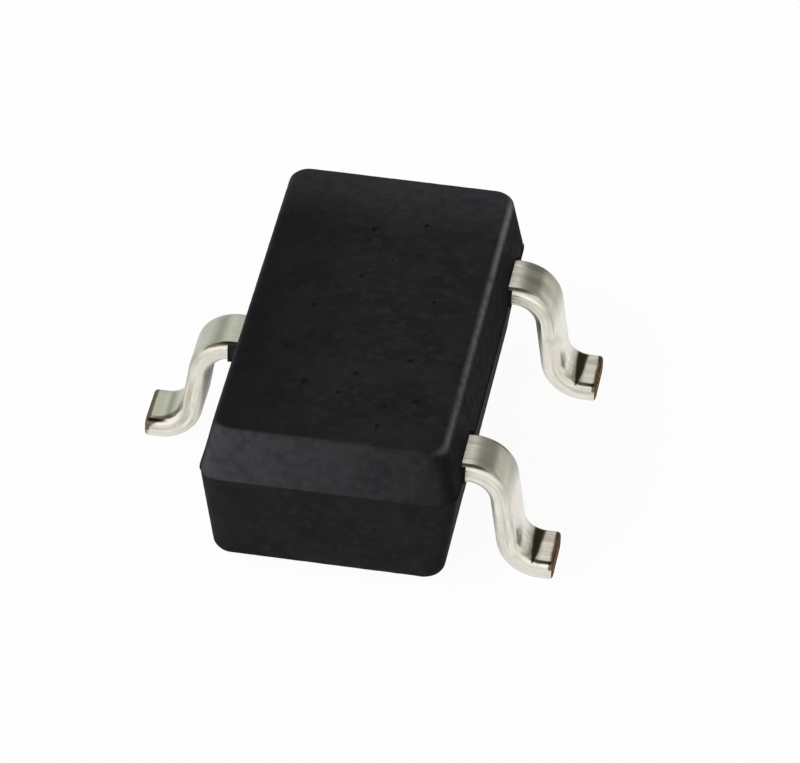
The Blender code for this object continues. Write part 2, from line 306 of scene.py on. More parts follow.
def mark_stains_and_shade(made, length, middle_y, front):
    """Marks where the strip is stained, and where painted shade and dark reflections go. Front is 1 or -1, its
    side that faces the sensor's front end.
    """
    names = ("hollow", "bend_dark_reflection", "soil_and_dark_reflection", "dulled", "smeared")
    for name in names:
        made.data.attributes.new(name, "FLOAT", "POINT")
    hollow, bend_dark_reflection, soil_and_dark_reflection, dulled, smeared = (made.data.attributes[name].data for name in names)
    half_hollow = LOWER_BEND_RADIUS * HOLLOW_TURN / 2
    bend_length = UPPER_BEND_RADIUS * bend_turn
    bend_start = FOOT_LENGTH + LOWER_BEND_RADIUS * bend_turn + leg_length + bend_length
    for index, vert in enumerate(made.data.vertices):
        outward = front * (vert.co.y - middle_y)
        across = outward / (LEAD_WIDTH / 2)
        below = LEAD_THICKNESS / 2 - vert.co.z
        back = length - vert.co.x
        by_cut = back < SOIL_AT_CUT
        if front < 0:
            smeared[index].value = kept(3.0 - 2.0 * below / ROLLED_EDGE) * max(0.0, 1.0 - back / SMEAR_LENGTH)
        elif by_cut:
            soil_and_dark_reflection[index].value = 1.0 if back < TRIM_ROUNDING / 3 or below < LEAD_THICKNESS / 2 else 0.3
        if below > ROLLED_EDGE:
            continue
        on_flat = below < ROLLED_EDGE / 2
        along_bend = (bend_start - back) / bend_length
        lean = math.degrees(math.atan2(outward - (LEAD_WIDTH / 2 - ROLLED_EDGE), ROLLED_EDGE - below))
        # The band of the rolled front edge where the painted dark reflection lines go.
        on_reflection_line = near(lean, REFLECTION_LINE_LEAN, REFLECTION_LINE_SPREAD)
        # Painted dark reflection over the top of the upper bend, strongest at its rear edge.
        bend_dark_reflection[index].value = near(along_bend, BEND_REFLECTION_MIDDLE, BEND_REFLECTION_SPREAD) * (0.75 - 0.25 * across)
        if front > 0:
            # The ground lead is dull along its whole top. On the foot that ends at a painted dark reflection
            # line, which runs in from the cut's front corner to the edge of the flat, and along it through the
            # hollow. The rolled front edge by the root carries the same painted dark reflection.
            inset = LINE_INSET * min(1.0, back / LINE_RUN_IN)
            left = kept((LINE_LENGTH - back) / LINE_FADE)
            dulled[index].value = kept((1.0 - inset * left - across) / DULL_FADE) if on_flat else 0.0
            aside = across + inset - 1.0
            widened = LINE_INNER + LINE_WIDENING * kept((back - LINE_RUN_IN) / LINE_RUN_IN)
            on_line = left * near(aside, 0.0, LINE_OUTER if aside > 0 else widened)
            at_root = on_reflection_line * kept(1.8 - 2.6 * along_bend) if along_bend > -0.5 else 0.0
            soil_and_dark_reflection[index].value = max(on_line if back > TRIM_ROUNDING else 0.0, at_root, float(by_cut))
        else:
            # The signal leads have painted shade in the hollow, and dark corners by the cut. A painted dark
            # reflection line runs along the rolled front edge by the cut, and a dark line along the rear edge
            # of the upper bend.
            half_span = half_hollow * (SPOT_SPAN - SPOT_TAPER * across)
            depth = SPOT_DEPTH - abs(back - FOOT_LENGTH - half_hollow) / half_span
            hollow[index].value = max(0.0, depth - 1.2 * max(0.0, across - 0.5)) if on_flat else 0.0
            at_corner = 1.0 if across < -0.5 or across > 0.85 else 0.30
            at_rear = 0.45 * near(along_bend, 0.45, 0.4) if across < -0.7 else 0.0
            at_front = on_reflection_line * max(0.0, 1.0 - back / REFLECTION_LINE_REACH)
            soil_and_dark_reflection[index].value = max(at_corner if by_cut else 0.0, at_rear, at_front)


def keep_flat_place(made, length):
    """Keeps each point's place in the flat blank, from its cut end, for the finish to follow the strip."""
    places = made.data.attributes.new("flat_place", "FLOAT_VECTOR", "POINT")
    for vert, place in zip(made.data.vertices, places.data):
        place.vector = (length - vert.co.x, vert.co.y, vert.co.z)


def form(made, line):
    """Bends the flat blank along its line."""
    forming = made.modifiers.new("forming", "CURVE")
    forming.object = line
    forming.deform_axis = "POS_X"
    bpy.context.view_layer.objects.active = made
    bpy.ops.object.modifier_apply(modifier=forming.name)
    bpy.data.objects.remove(line)


def signal_lead(name, side):
    """One of the two leads at +X. Side is 1 at +Y and -1 at -Y."""
    line, length = forming_line(
        f"{name}_line", BODY_HALF_WIDTH - POST_REACH, lead_z, [(POST_REACH + LEAD_SHOULDER, 0.0), *gull_wing]
    )
    middle_y = side * LEAD_PITCH
    made = blank(name, middle_y - side * POST_OFFSET, POST_WIDTH, POST_LENGTH)
    edit(made)
    pick("faces", lambda f: f.normal.x > 0.9)
    draw_out((SHOULDER_TAPER, side * POST_OFFSET, 0.0), LEAD_WIDTH / POST_WIDTH, middle_y)
    draw_out((length - TRIM_ROUNDING - POST_LENGTH - SHOULDER_TAPER, 0.0, 0.0))
    roll_edges()
    score_sides(middle_y, POST_REACH, length - TRIM_ROUNDING)
    trim_end(made, middle_y, length)
    leave_edit()
    mark_stains_and_shade(made, length, middle_y, -1)
    keep_flat_place(made, length)
    form(made, line)
    return made


def new_finish(name):
    """An empty material: itself, its nodes and its shader."""
    made = bpy.data.materials.new(name)
    made.use_nodes = True
    return made, made.node_tree, made.node_tree.nodes["Principled BSDF"]


def mesh_mark(tree, name):
    """Reads a mark that the mesh carries."""
    mark = tree.nodes.new("ShaderNodeAttribute")
    mark.attribute_name = name
    return mark


def mix(tree, factor, first, second, kind="RGBA"):
    """A Mix node between two values or links, by a factor that is a link."""
    node = tree.nodes.new("ShaderNodeMix")
    node.data_type = kind
    sockets = {"RGBA": (6, 7, 2), "FLOAT": (2, 3, 0)}[kind]
    tree.links.new(factor, node.inputs[0])
    for index, value in zip(sockets, (first, second)):
        if isinstance(value, bpy.types.NodeSocket):
            tree.links.new(value, node.inputs[index])
        else:
            node.inputs[index].default_value = (*value, 1.0) if kind == "RGBA" else value
    return node.outputs[sockets[2]]


def grain(tree, place, scale, detail=3.0, stretch=(1.0, 1.0, 1.0), roughness=0.5):
    """Noise whose features are one over the scale across, in metres, and may be stretched."""
    mapping = tree.nodes.new("ShaderNodeMapping")
    mapping.inputs["Scale"].default_value = stretch
    tree.links.new(place, mapping.inputs["Vector"])
    noise = tree.nodes.new("ShaderNodeTexNoise")
    noise.inputs["Scale"].default_value = scale
    noise.inputs["Detail"].default_value = detail
    noise.inputs["Roughness"].default_value = roughness
    tree.links.new(mapping.outputs["Vector"], noise.inputs["Vector"])
    return noise.outputs["Fac"]


def rise(tree, value, low, high, to_low=0.0, to_high=1.0):
    """A smooth step of a value from low to high."""
    node = tree.nodes.new("ShaderNodeMapRange")
    node.interpolation_type = "SMOOTHSTEP"
    for socket, number in zip(node.inputs[1:5], (low, high, to_low, to_high)):
        socket.default_value = number
    tree.links.new(value, node.inputs["Value"])
    return node.outputs["Result"]


def lay_tone(tree, colour, name, noise, raggedness, low, high, tone):
    """Lays a tone over a colour where a mark of the mesh plus noise is high, so that its edge is ragged."""
    ragged = tree.nodes.new("ShaderNodeMath")
    ragged.operation = "MULTIPLY_ADD"
    ragged.inputs[1].default_value = raggedness
    tree.links.new(noise, ragged.inputs[0])
    tree.links.new(mesh_mark(tree, name).outputs["Fac"], ragged.inputs[2])
    return mix(tree, rise(tree, ragged.outputs[0], low, high), colour, tone)


def emboss(tree, shader, height, strength, distance):
    """Fine relief on the shader's surface."""
    bump = tree.nodes.new("ShaderNodeBump")
    bump.inputs["Strength"].default_value = strength
    bump.inputs["Distance"].default_value = distance
    tree.links.new(height, bump.inputs["Height"])
    tree.links.new(bump.outputs["Normal"], shader.inputs["Normal"])


def tinned_copper():
    """Matte tin over copper strip: streaked along it, bare at the cut end, with a painted dark reflection over
    the upper bend, painted shade in the lower bend's hollow and a painted lighter underside.
    """
    made, tree, shader = new_finish("tinned_copper")
    shader.inputs["Metallic"].default_value = 1.0
    place = mesh_mark(tree, "flat_place").outputs["Vector"]
    streaks = grain(tree, place, 30000.0, 4.0, (0.12, 1.0, 1.0))
    lines = grain(tree, place, 42000.0, 2.0, (0.04, 0.15, 1.0))
    clouds = grain(tree, place, 9000.0, 3.0)
    stains = grain(tree, place, 5200.0, 2.0, (0.6, 1.0, 1.0))
    specks = grain(tree, place, 90000.0, 2.0)
    tin = mix(tree, rise(tree, streaks, 0.35, 0.7), (0.74, 0.72, 0.63), (0.85, 0.83, 0.755))
    tin = mix(tree, rise(tree, lines, 0.52, 0.62, 0.0, 0.8), tin, (0.50, 0.455, 0.40))
    tin = mix(tree, rise(tree, clouds, 0.45, 0.72), tin, (0.68, 0.675, 0.57))
    tin = mix(tree, rise(tree, stains, 0.50, 0.68), tin, (0.76, 0.70, 0.64))

    along = tree.nodes.new("ShaderNodeSeparateXYZ")
    tree.links.new(place, along.inputs[0])
    # The strip's underside, which faces the body on the legs, is painted lighter: painted light where it would
    # show the dark reflection of the body.
    inner = rise(tree, along.outputs["Z"], -LEAD_THICKNESS / 2, ROLLED_EDGE - LEAD_THICKNESS / 2, 1.0, 0.0)
    tin = mix(tree, inner, tin, (0.86, 0.85, 0.80))
    tin = lay_tone(tree, tin, "smeared", clouds, 0.7, 0.40, 0.95, (0.36, 0.19, 0.085))
    tin = lay_tone(tree, tin, "dulled", clouds, 0.6, 0.35, 1.0, (0.49, 0.51, 0.42))
    # Painted dark reflection over the top of the upper bend.
    tin = lay_tone(tree, tin, "bend_dark_reflection", streaks, 0.35, 0.20, 1.15, (0.33, 0.33, 0.26))
    # Painted shade in the hollow of the lower bend, in two tones.
    tin = lay_tone(tree, tin, "hollow", clouds, 0.5, 0.40, 0.80, (0.22, 0.21, 0.15))
    blotches = mix(tree, stains, specks, clouds, "FLOAT")
    tin = lay_tone(tree, tin, "hollow", blotches, 0.8, 0.60, 1.10, (0.070, 0.065, 0.038))

    copper = mix(tree, rise(tree, clouds, 0.42, 0.62), (0.035, 0.032, 0.022), (0.27, 0.135, 0.052))
    copper = mix(tree, rise(tree, specks, 0.50, 0.72), copper, (0.50, 0.26, 0.12))
    cut = rise(tree, mesh_mark(tree, "bare_copper").outputs["Fac"], 0.30, 0.70)
    metal = mix(tree, cut, tin, copper)
    # Soil at the cut, and painted dark reflection lines along the rolled front edges.
    metal = lay_tone(tree, metal, "soil_and_dark_reflection", clouds, 0.8, 0.55, 1.05, (0.14, 0.12, 0.08))
    tree.links.new(metal, shader.inputs["Base Color"])
    dull = mix(tree, rise(tree, streaks, 0.3, 0.7), 0.29, 0.21, "FLOAT")
    dull = mix(tree, inner, dull, 0.85, "FLOAT")
    tree.links.new(mix(tree, cut, dull, 0.8, "FLOAT"), shader.inputs["Roughness"])
    emboss(tree, shader, mix(tree, specks, streaks, specks, "FLOAT"), 0.35, 0.002 * MM)
    return made


tin_finish = tinned_copper()
strips = []
for lead_name, lead_side in (("supply_lead", 1), ("output_lead", -1)):
    strip = signal_lead(f"{lead_name}_strip", lead_side)
    strip.data.materials.append(tin_finish)
    bpy.ops.object.shade_smooth_by_angle(angle=math.radians(40))
    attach(strip, "root")
    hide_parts(lead_name)
    strips.append(strip)

# GROUND LEAD
# The third lead leaves the other side. Inside, it steps down and widens into the pad that carries the chip,
# so that the chip sits low in the moulding. It is the same strip, with the same plating and last cut.
PAD_WIDTH = 1.20 * MM
PAD_GAP = 0.10 * MM
PAD_DOWNSET = 0.20 * MM
RAMP_LENGTH = 0.15 * MM
RAMP_BEND_RADIUS = 0.10 * MM
GROUND_INNER_LENGTH = 0.20 * MM

pad_inner_x = BODY_HALF_WIDTH - POST_REACH - PAD_GAP
pad_outer_x = BODY_HALF_WIDTH - GROUND_INNER_LENGTH - RAMP_LENGTH - SHOULDER_TAPER
ramp_turn = math.atan2(PAD_DOWNSET, RAMP_LENGTH)
ramp_corner = RAMP_BEND_RADIUS * math.tan(ramp_turn / 2)
ramp_run = math.hypot(PAD_DOWNSET, RAMP_LENGTH) - 2 * ramp_corner
ground_moves = [
    (pad_inner_x + pad_outer_x + SHOULDER_TAPER - ramp_corner, 0.0),
    (RAMP_BEND_RADIUS, ramp_turn),
    (ramp_run, 0.0),
    (RAMP_BEND_RADIUS, -ramp_turn),
    (GROUND_INNER_LENGTH + LEAD_SHOULDER - ramp_corner, 0.0),
    *gull_wing,
]
ground_line, ground_length = forming_line(
    "ground_lead_line", -pad_inner_x, lead_z - PAD_DOWNSET, ground_moves
)
ground_strip = blank("ground_lead_strip", 0.0, PAD_WIDTH, pad_inner_x + pad_outer_x)
edit(ground_strip)
pick("faces", lambda f: f.normal.x > 0.9)
draw_out((SHOULDER_TAPER, 0.0, 0.0), LEAD_WIDTH / PAD_WIDTH)
draw_out((ground_length - TRIM_ROUNDING - pad_inner_x - pad_outer_x - SHOULDER_TAPER, 0.0, 0.0))
roll_edges()
score_sides(0.0, pad_inner_x + pad_outer_x + SHOULDER_TAPER + HAIR, ground_length - TRIM_ROUNDING)
trim_end(ground_strip, 0.0, ground_length)
leave_edit()
mark_stains_and_shade(ground_strip, ground_length, 0.0, 1)
keep_flat_place(ground_strip, ground_length)
form(ground_strip, ground_line)
bpy.ops.transform.rotate(value=math.pi, orient_axis="Z", center_override=(0.0, 0.0, 0.0))
settle(ground_strip)
ground_strip.data.materials.append(tin_finish)
bpy.ops.object.shade_smooth_by_angle(angle=math.radians(40))
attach(ground_strip, "root")
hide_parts("ground_lead")
strips.append(ground_strip)

# CHIP GLUE
# A dab of epoxy filled with silver flakes, pressed out under the chip and cured. It holds the chip on the pad
# and carries its heat into the ground lead.


def silver_glue():
    """Grey epoxy with bright flakes lying in it at all angles."""
    made, tree, shader = new_finish("silver_glue")
    shader.inputs["Metallic"].default_value = 0.6
    place = tree.nodes.new("ShaderNodeTexCoord").outputs["Object"]
    flakes = grain(tree, place, 160000.0, 2.0)
    smears = grain(tree, place, 25000.0, 3.0)
    grey = mix(tree, rise(tree, smears, 0.35, 0.65), (0.36, 0.36, 0.35), (0.48, 0.48, 0.46))
    grey = mix(tree, rise(tree, flakes, 0.52, 0.62), grey, (0.74, 0.74, 0.72))
    tree.links.new(grey, shader.inputs["Base Color"])
    tree.links.new(mix(tree, rise(tree, flakes, 0.5, 0.6), 0.62, 0.36, "FLOAT"), shader.inputs["Roughness"])
    emboss(tree, shader, flakes, 0.6, 0.002 * MM)
    return made


frame["nodes"]["die_attach"].material_slots[0].material = silver_glue()

# HALL CHIP
# The silicon chip that feels the magnetic field. It is sawn from its wafer, so its sides are matt. On top, the
# circuit lies under thin clear glass.


def silicon():
    """Dark silicon: blocks of circuit in slightly different greys on top, fine saw lines on the sides."""
    made, tree, shader = new_finish("silicon")
    place = tree.nodes.new("ShaderNodeTexCoord")
    blocks = tree.nodes.new("ShaderNodeTexVoronoi")
    blocks.distance = "CHEBYCHEV"
    blocks.inputs["Scale"].default_value = 16000.0
    tree.links.new(place.outputs["Object"], blocks.inputs["Vector"])
    tones = tree.nodes.new("ShaderNodeSeparateXYZ")
    tree.links.new(blocks.outputs["Color"], tones.inputs[0])
    circuit = mix(tree, tones.outputs["X"], (0.050, 0.055, 0.085), (0.150, 0.125, 0.145))
    lines = grain(tree, place.outputs["Object"], 60000.0, 2.0, (1.0, 1.0, 6.0))
    sawn = mix(tree, rise(tree, lines, 0.3, 0.7), (0.085, 0.090, 0.100), (0.150, 0.155, 0.165))
    facing = tree.nodes.new("ShaderNodeSeparateXYZ")
    tree.links.new(place.outputs["Normal"], facing.inputs[0])
    top = rise(tree, facing.outputs["Z"], 0.5, 0.9)
    tree.links.new(mix(tree, top, sawn, circuit), shader.inputs["Base Color"])
    tree.links.new(mix(tree, top, 0.55, 0.12, "FLOAT"), shader.inputs["Roughness"])
    emboss(tree, shader, mix(tree, top, lines, tones.outputs["Y"], "FLOAT"), 0.25, 0.001 * MM)
    return made


frame["nodes"]["hall_die"].material_slots[0].material = silicon()

# BOND WIRES
# Fine gold wires, one from the chip to each lead's inner end. Each is melted to a ball on the chip, looped
# over and wedged down on the lead by heat and ultrasound.
WIRE_NAMES = ("supply_bond_wire", "output_bond_wire", "ground_bond_wire")


def gold_wire():
    """Drawn gold: warm, bright, with faint lines and a redder tone where it was worked."""
    made, tree, shader = new_finish("gold_wire")
    shader.inputs["Metallic"].default_value = 1.0
    place = tree.nodes.new("ShaderNodeTexCoord").outputs["Object"]
    worked = grain(tree, place, 20000.0, 2.0)
    drawn = grain(tree, place, 120000.0, 3.0)
    gold = mix(tree, rise(tree, worked, 0.35, 0.65), (0.90, 0.66, 0.27), (0.82, 0.54, 0.22))
    tree.links.new(gold, shader.inputs["Base Color"])
    tree.links.new(mix(tree, rise(tree, drawn, 0.3, 0.7), 0.20, 0.34, "FLOAT"), shader.inputs["Roughness"])
    emboss(tree, shader, drawn, 0.3, 0.0005 * MM)
    return made


gold_finish = gold_wire()
for wire_name in WIRE_NAMES:
    frame["nodes"][wire_name].material_slots[0].material = gold_finish

# MOULDING
# Black epoxy resin, pressed hot around the lead frame, chip and wires in a two-part mould. The spark-eroded
# mould leaves it matt. A thin fin runs round it where the mould parts, and a little resin creeps out along
# each lead.
BODY_LENGTH = 2.96 * MM
UPPER_HEIGHT = 0.39 * MM
UPPER_SIDE_DRAFT = math.radians(12)
UPPER_END_DRAFT = math.radians(4.5)
LOWER_DRAFT = math.radians(7)
CORNER_RADIUS = 0.13 * MM
TOP_EDGE_RADIUS = 0.04 * MM
BOTTOM_EDGE_RADIUS = 0.065 * MM
FIN_THICKNESS = 0.007 * MM
FIN_REACH = 0.004 * MM
WEBS = (
    (1, LEAD_PITCH, 1, 0.010 * MM), (1, LEAD_PITCH, -1, 0.010 * MM), (1, -LEAD_PITCH, 1, 0.010 * MM),
    (1, -LEAD_PITCH, -1, 0.010 * MM), (-1, 0.0, -1, 0.048 * MM),
)
WEB_THICKNESS = 0.010 * MM
SKIN_SPACING = 0.03 * MM
CRATER_SIZE = 0.05 * MM
CRATER_DEPTH = 0.003 * MM
CLEARANCE = 0.003 * MM
EDGE_HIGHLIGHT_LEAN = 46.0
EDGE_HIGHLIGHT_SPREAD = 38.0
SHEEN_REACH = 0.60 * MM
PIT_DEPTH = 0.007 * MM
PITS = (
    (-0.095, 0.835, 0.020), (0.236, 0.949, 0.016), (0.374, -0.520, 0.018), (-0.254, -0.863, 0.022),
    (0.280, -1.229, 0.014), (-0.338, -0.055, 0.018), (-0.093, 0.312, 0.013), (0.421, 0.127, 0.015),
    (0.058, -0.714, 0.016), (0.478, -0.933, 0.020), (0.080, 0.530, 0.012), (-0.433, -0.520, 0.015),
    (-0.019, -0.932, 0.013), (0.288, -1.014, 0.016),
)
body_top_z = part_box("package_body")[1].z
body_bottom_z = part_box("package_body")[0].z
parting_z = body_top_z - UPPER_HEIGHT
lower_height = parting_z - body_bottom_z


def block(name, low, high):
    """A plain block between two corners, with its place in its mesh."""
    bpy.ops.mesh.primitive_cube_add(size=1.0, location=(low + high) / 2, scale=high - low)
    made = bpy.context.object
    made.name = made.data.name = name
    settle(made)
    return made


def at_height(item, z):
    return all(abs(v.co.z - z) < HAIR for v in item.verts)


def draw_in(z, inset_x, inset_y, half_x, half_y):
    """Brings what is picked in towards the middle line, as the draft of the mould does."""
    bpy.ops.transform.resize(
        value=((half_x - inset_x) / half_x, (half_y - inset_y) / half_y, 1.0), center_override=(0.0, 0.0, z)
    )


half_length = BODY_LENGTH / 2
moulding = block(
    "moulding",
    Vector((-BODY_HALF_WIDTH, -half_length, body_bottom_z)),
    Vector((BODY_HALF_WIDTH, half_length, parting_z)),
)
edit(moulding)
pick("faces", lambda f: f.normal.z < -0.9)
lower_inset = lower_height * math.tan(LOWER_DRAFT)
draw_in(body_bottom_z, lower_inset, lower_inset, BODY_HALF_WIDTH, half_length)
pick("faces", lambda f: f.normal.z > 0.9)
bpy.ops.mesh.extrude_region_move(TRANSFORM_OT_translate={"value": (0.0, 0.0, UPPER_HEIGHT)})
upper_side_inset = UPPER_HEIGHT * math.tan(UPPER_SIDE_DRAFT)
upper_end_inset = UPPER_HEIGHT * math.tan(UPPER_END_DRAFT)
draw_in(body_top_z, upper_side_inset, upper_end_inset, BODY_HALF_WIDTH, half_length)
pick("edges", lambda e: abs(e.verts[0].co.z - e.verts[1].co.z) > HAIR)
bpy.ops.mesh.bevel(offset=CORNER_RADIUS, segments=8, profile=0.5, affect="EDGES")
pick("edges", lambda e: at_height(e, body_top_z))
bpy.ops.mesh.bevel(offset=TOP_EDGE_RADIUS, segments=6, profile=0.5, affect="EDGES")
pick("edges", lambda e: at_height(e, body_bottom_z))
bpy.ops.mesh.bevel(offset=BOTTOM_EDGE_RADIUS, segments=7, profile=0.5, affect="EDGES")
pick("edges", lambda e: at_height(e, parting_z))
bpy.ops.mesh.bevel(offset=FIN_THICKNESS / 2, segments=1, affect="EDGES")
pick("faces", lambda f: abs(f.calc_center_median().z - parting_z) < FIN_THICKNESS and abs(f.normal.z) < 0.2)
bpy.ops.mesh.extrude_region_shrink_fatten(TRANSFORM_OT_shrink_fatten={"value": FIN_REACH})
bpy.ops.mesh.select_all(action="SELECT")
bpy.ops.object.vertex_group_assign_new()
leave_edit()
moulding.vertex_groups[0].name = "skin"


def gather(name, members):
    """Moves objects into a collection of their own, for one Boolean to use together."""
    group = bpy.data.collections.new(name)
    bpy.context.scene.collection.children.link(group)
    for member in members:
        for old in list(member.users_collection):
            old.objects.unlink(member)
        group.objects.link(member)
    return group


def combine(target, group, operation):
    """Joins or cuts the target with all of a collection, and clears the collection away."""
    boolean = target.modifiers.new(group.name, "BOOLEAN")
    boolean.operation = operation
    boolean.solver = "EXACT"
    boolean.operand_type = "COLLECTION"
    boolean.collection = group
    bpy.ops.object.select_all(action="DESELECT")
    bpy.context.view_layer.objects.active = target
    bpy.ops.object.modifier_apply(modifier=boolean.name)
    for member in list(group.objects):
        bpy.data.objects.remove(member)
    bpy.data.collections.remove(group)


# Resin that crept out beside the leads towards the bar that closed the mould there.
webs = []
for web_side, web_y, flank, reach in WEBS:
    inner_x = BODY_HALF_WIDTH - POST_REACH / 2
    near_y = web_y + flank * (LEAD_WIDTH / 2 - ROLLED_EDGE)
    far_y = web_y + flank * (LEAD_WIDTH / 2 + WEB_THICKNESS)
    xs = sorted((web_side * inner_x, web_side * (BODY_HALF_WIDTH + reach)))
    ys = sorted((near_y, far_y))
    low_z = lead_z - LEAD_THICKNESS / 2 + WEB_THICKNESS
    high_z = lead_top_z - ROLLED_EDGE / 4
    webs.append(block("web", Vector((xs[0], ys[0], low_z)), Vector((xs[1], ys[1], high_z))))
combine(moulding, gather("webs", webs), "UNION")

# Everything inside takes up its own space in the resin, with a hairline round it.
spaces = []
for inner in strips + [frame["nodes"][name] for name in ("die_attach", "hall_die", *WIRE_NAMES)]:
    space = inner.copy()
    space.data = inner.data.copy()
    space.parent = None
    bpy.context.scene.collection.objects.link(space)
    edit(space)
    bpy.ops.mesh.select_all(action="SELECT")
    bpy.ops.mesh.remove_doubles(threshold=HAIR / 10)
    bpy.ops.transform.shrink_fatten(value=CLEARANCE, use_even_offset=True)
    leave_edit()
    spaces.append(space)
combine(moulding, gather("spaces", spaces), "DIFFERENCE")

# Pits in the top, where small bubbles broke the skin. Each is the cap of a ball that just dips into the face.
balls = []
for pit_x, pit_y, pit_radius in PITS:
    ball_radius = ((pit_radius * MM) ** 2 + PIT_DEPTH**2) / (2 * PIT_DEPTH)
    middle = (pit_x * MM, pit_y * MM, body_top_z + ball_radius - PIT_DEPTH)
    bpy.ops.mesh.primitive_ico_sphere_add(subdivisions=4, radius=ball_radius, location=middle)
    settle(bpy.context.object)
    balls.append(bpy.context.object)
combine(moulding, gather("pits", balls), "DIFFERENCE")

# The spark-eroded skin: shallow craters a few hundredths of a millimetre across, all over.
edit(moulding)
for direction, reach in ((0, BODY_HALF_WIDTH), (1, half_length)):
    normal = Vector((0.0, 0.0, 0.0))
    normal[direction] = 1.0
    lines = int(2 * reach / SKIN_SPACING)
    for line in range(1, lines):
        slice_all(normal * (line / lines * 2 * reach - reach), normal)
levels = int((body_top_z - body_bottom_z) / SKIN_SPACING)
for level in range(1, levels):
    slice_all((0.0, 0.0, body_bottom_z + level / levels * (body_top_z - body_bottom_z)), (0.0, 0.0, 1.0))
leave_edit()

millimetre = bpy.data.objects.new("millimetre", None)
millimetre.scale = (MM, MM, MM)
bpy.context.scene.collection.objects.link(millimetre)
craters = bpy.data.textures.new("craters", "CLOUDS")
craters.noise_scale = CRATER_SIZE / MM
craters.noise_depth = 2
skin = moulding.modifiers.new("skin", "DISPLACE")
skin.texture = craters
skin.texture_coords = "OBJECT"
skin.texture_coords_object = millimetre
skin.strength = CRATER_DEPTH
skin.mid_level = 0.5
skin.vertex_group = "skin"
bpy.context.view_layer.objects.active = moulding
bpy.ops.object.modifier_apply(modifier=skin.name)
bpy.data.objects.remove(millimetre)

bpy.ops.object.shade_smooth_by_angle(angle=math.radians(40))
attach(moulding, "root")
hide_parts("package_body")


def moulding_resin():
    """Black epoxy with its silica filler: matt and mottled, with painted sheen, a painted edge highlight and
    painted shade laid on where the mesh marks them.
    """
    made, tree, shader = new_finish("moulding_resin")
    shader.inputs["Specular IOR Level"].default_value = 0.08
    place = tree.nodes.new("ShaderNodeTexCoord").outputs["Object"]
    drifts = grain(tree, place, 3500.0, 3.0)
    mottle = grain(tree, place, 16000.0, 4.0, roughness=0.6)
    filler = grain(tree, place, 80000.0, 3.0)
    black = mix(tree, rise(tree, drifts, 0.35, 0.65), (0.0100, 0.0104, 0.0116), (0.0140, 0.0146, 0.0152))
    black = mix(tree, rise(tree, mottle, 0.45, 0.75), black, (0.0175, 0.0179, 0.0194))
    # The marks lay on painted shade, painted sheen, a painted edge highlight and painted shade in the pits,
    # each broken up by the mottle.
    tones = (
        ("painted_shade", (0.0026, 0.0028, 0.0032)),
        ("painted_sheen", (0.0400, 0.0405, 0.0450)),
        ("painted_edge_highlight", (0.1900, 0.1900, 0.1930)),
        ("painted_pit_shade", (0.0050, 0.0050, 0.0055)),
    )
    for name, tone in tones:
        patchy = tree.nodes.new("ShaderNodeMath")
        patchy.operation = "MULTIPLY"
        tree.links.new(mesh_mark(tree, name).outputs["Fac"], patchy.inputs[0])
        tree.links.new(rise(tree, mottle, 0.25, 0.60, 0.55, 1.0), patchy.inputs[1])
        black = mix(tree, patchy.outputs[0], black, tone)
    tree.links.new(black, shader.inputs["Base Color"])
    dull = mix(tree, rise(tree, mottle, 0.35, 0.65), 0.90, 0.74, "FLOAT")
    tree.links.new(dull, shader.inputs["Roughness"])
    emboss(tree, shader, mix(tree, filler, mottle, filler, "FLOAT"), 0.6, 0.002 * MM)
    return made


# Painted sheen lies on the front end above the parting line, lightest at the left, and on the rear of the top.
# A painted highlight runs along the right long top edge. Painted shade darkens the right side, the left of the
# top and the lower half, and the inside of the pits.
mark_names = ("painted_shade", "painted_sheen", "painted_edge_highlight", "painted_pit_shade")
for mark_name in mark_names:
    moulding.data.attributes.new(mark_name, "FLOAT", "POINT")
marks = {mark_name: moulding.data.attributes[mark_name].data for mark_name in mark_names}
for index, vert in enumerate(moulding.data.vertices):
    place = vert.co
    # Painted shade on the right side, the left of the top and the lower half.
    on_right = kept(2.0 * vert.normal.x - 0.6)
    on_left = max(0.0, -place.x / BODY_HALF_WIDTH) if vert.normal.z > 0.8 else 0.0
    below = 0.35 if place.z < parting_z else 0.0
    marks["painted_shade"][index].value = max(0.95 * on_right, 0.7 * on_left, below)
    # Painted sheen on the front end above the parting line, lightest at the left.
    if vert.normal.y < -0.3 and place.z > parting_z and place.y < -half_length / 2:
        towards = min(1.0, -3.0 * vert.normal.y - 0.9)
        marks["painted_sheen"][index].value = towards * max(0.0, 0.42 - 0.50 * place.x / BODY_HALF_WIDTH)
    # Painted sheen towards the rear of the top.
    from_rear = half_length - upper_end_inset - place.y
    if place.z > body_top_z - TOP_EDGE_RADIUS and from_rear < SHEEN_REACH:
        marks["painted_sheen"][index].value = 0.6 * (1 - max(0.0, from_rear) / SHEEN_REACH)
    # Painted highlight along the right long top edge, strongest towards the rear.
    lean = math.degrees(math.atan2(vert.normal.x, vert.normal.z))
    if place.z > body_top_z - TOP_EDGE_RADIUS:
        painted_edge_highlight = near(lean, EDGE_HIGHLIGHT_LEAN, EDGE_HIGHLIGHT_SPREAD)
        painted_edge_highlight *= 0.73 + 0.27 * place.y / half_length + 0.16 * (place.y / half_length) ** 2
        marks["painted_edge_highlight"][index].value = painted_edge_highlight * max(0.0, 1.0 - 1.3 * abs(vert.normal.y))
    # Painted shade inside the pits, reaching over their rims.
    for pit_x, pit_y, pit_radius in PITS:
        if math.dist(place, (pit_x * MM, pit_y * MM, body_top_z - PIT_DEPTH)) < 1.15 * pit_radius * MM:
            marks["painted_pit_shade"][index].value = 1.0

moulding.data.materials.clear()
moulding.data.materials.append(moulding_resin())

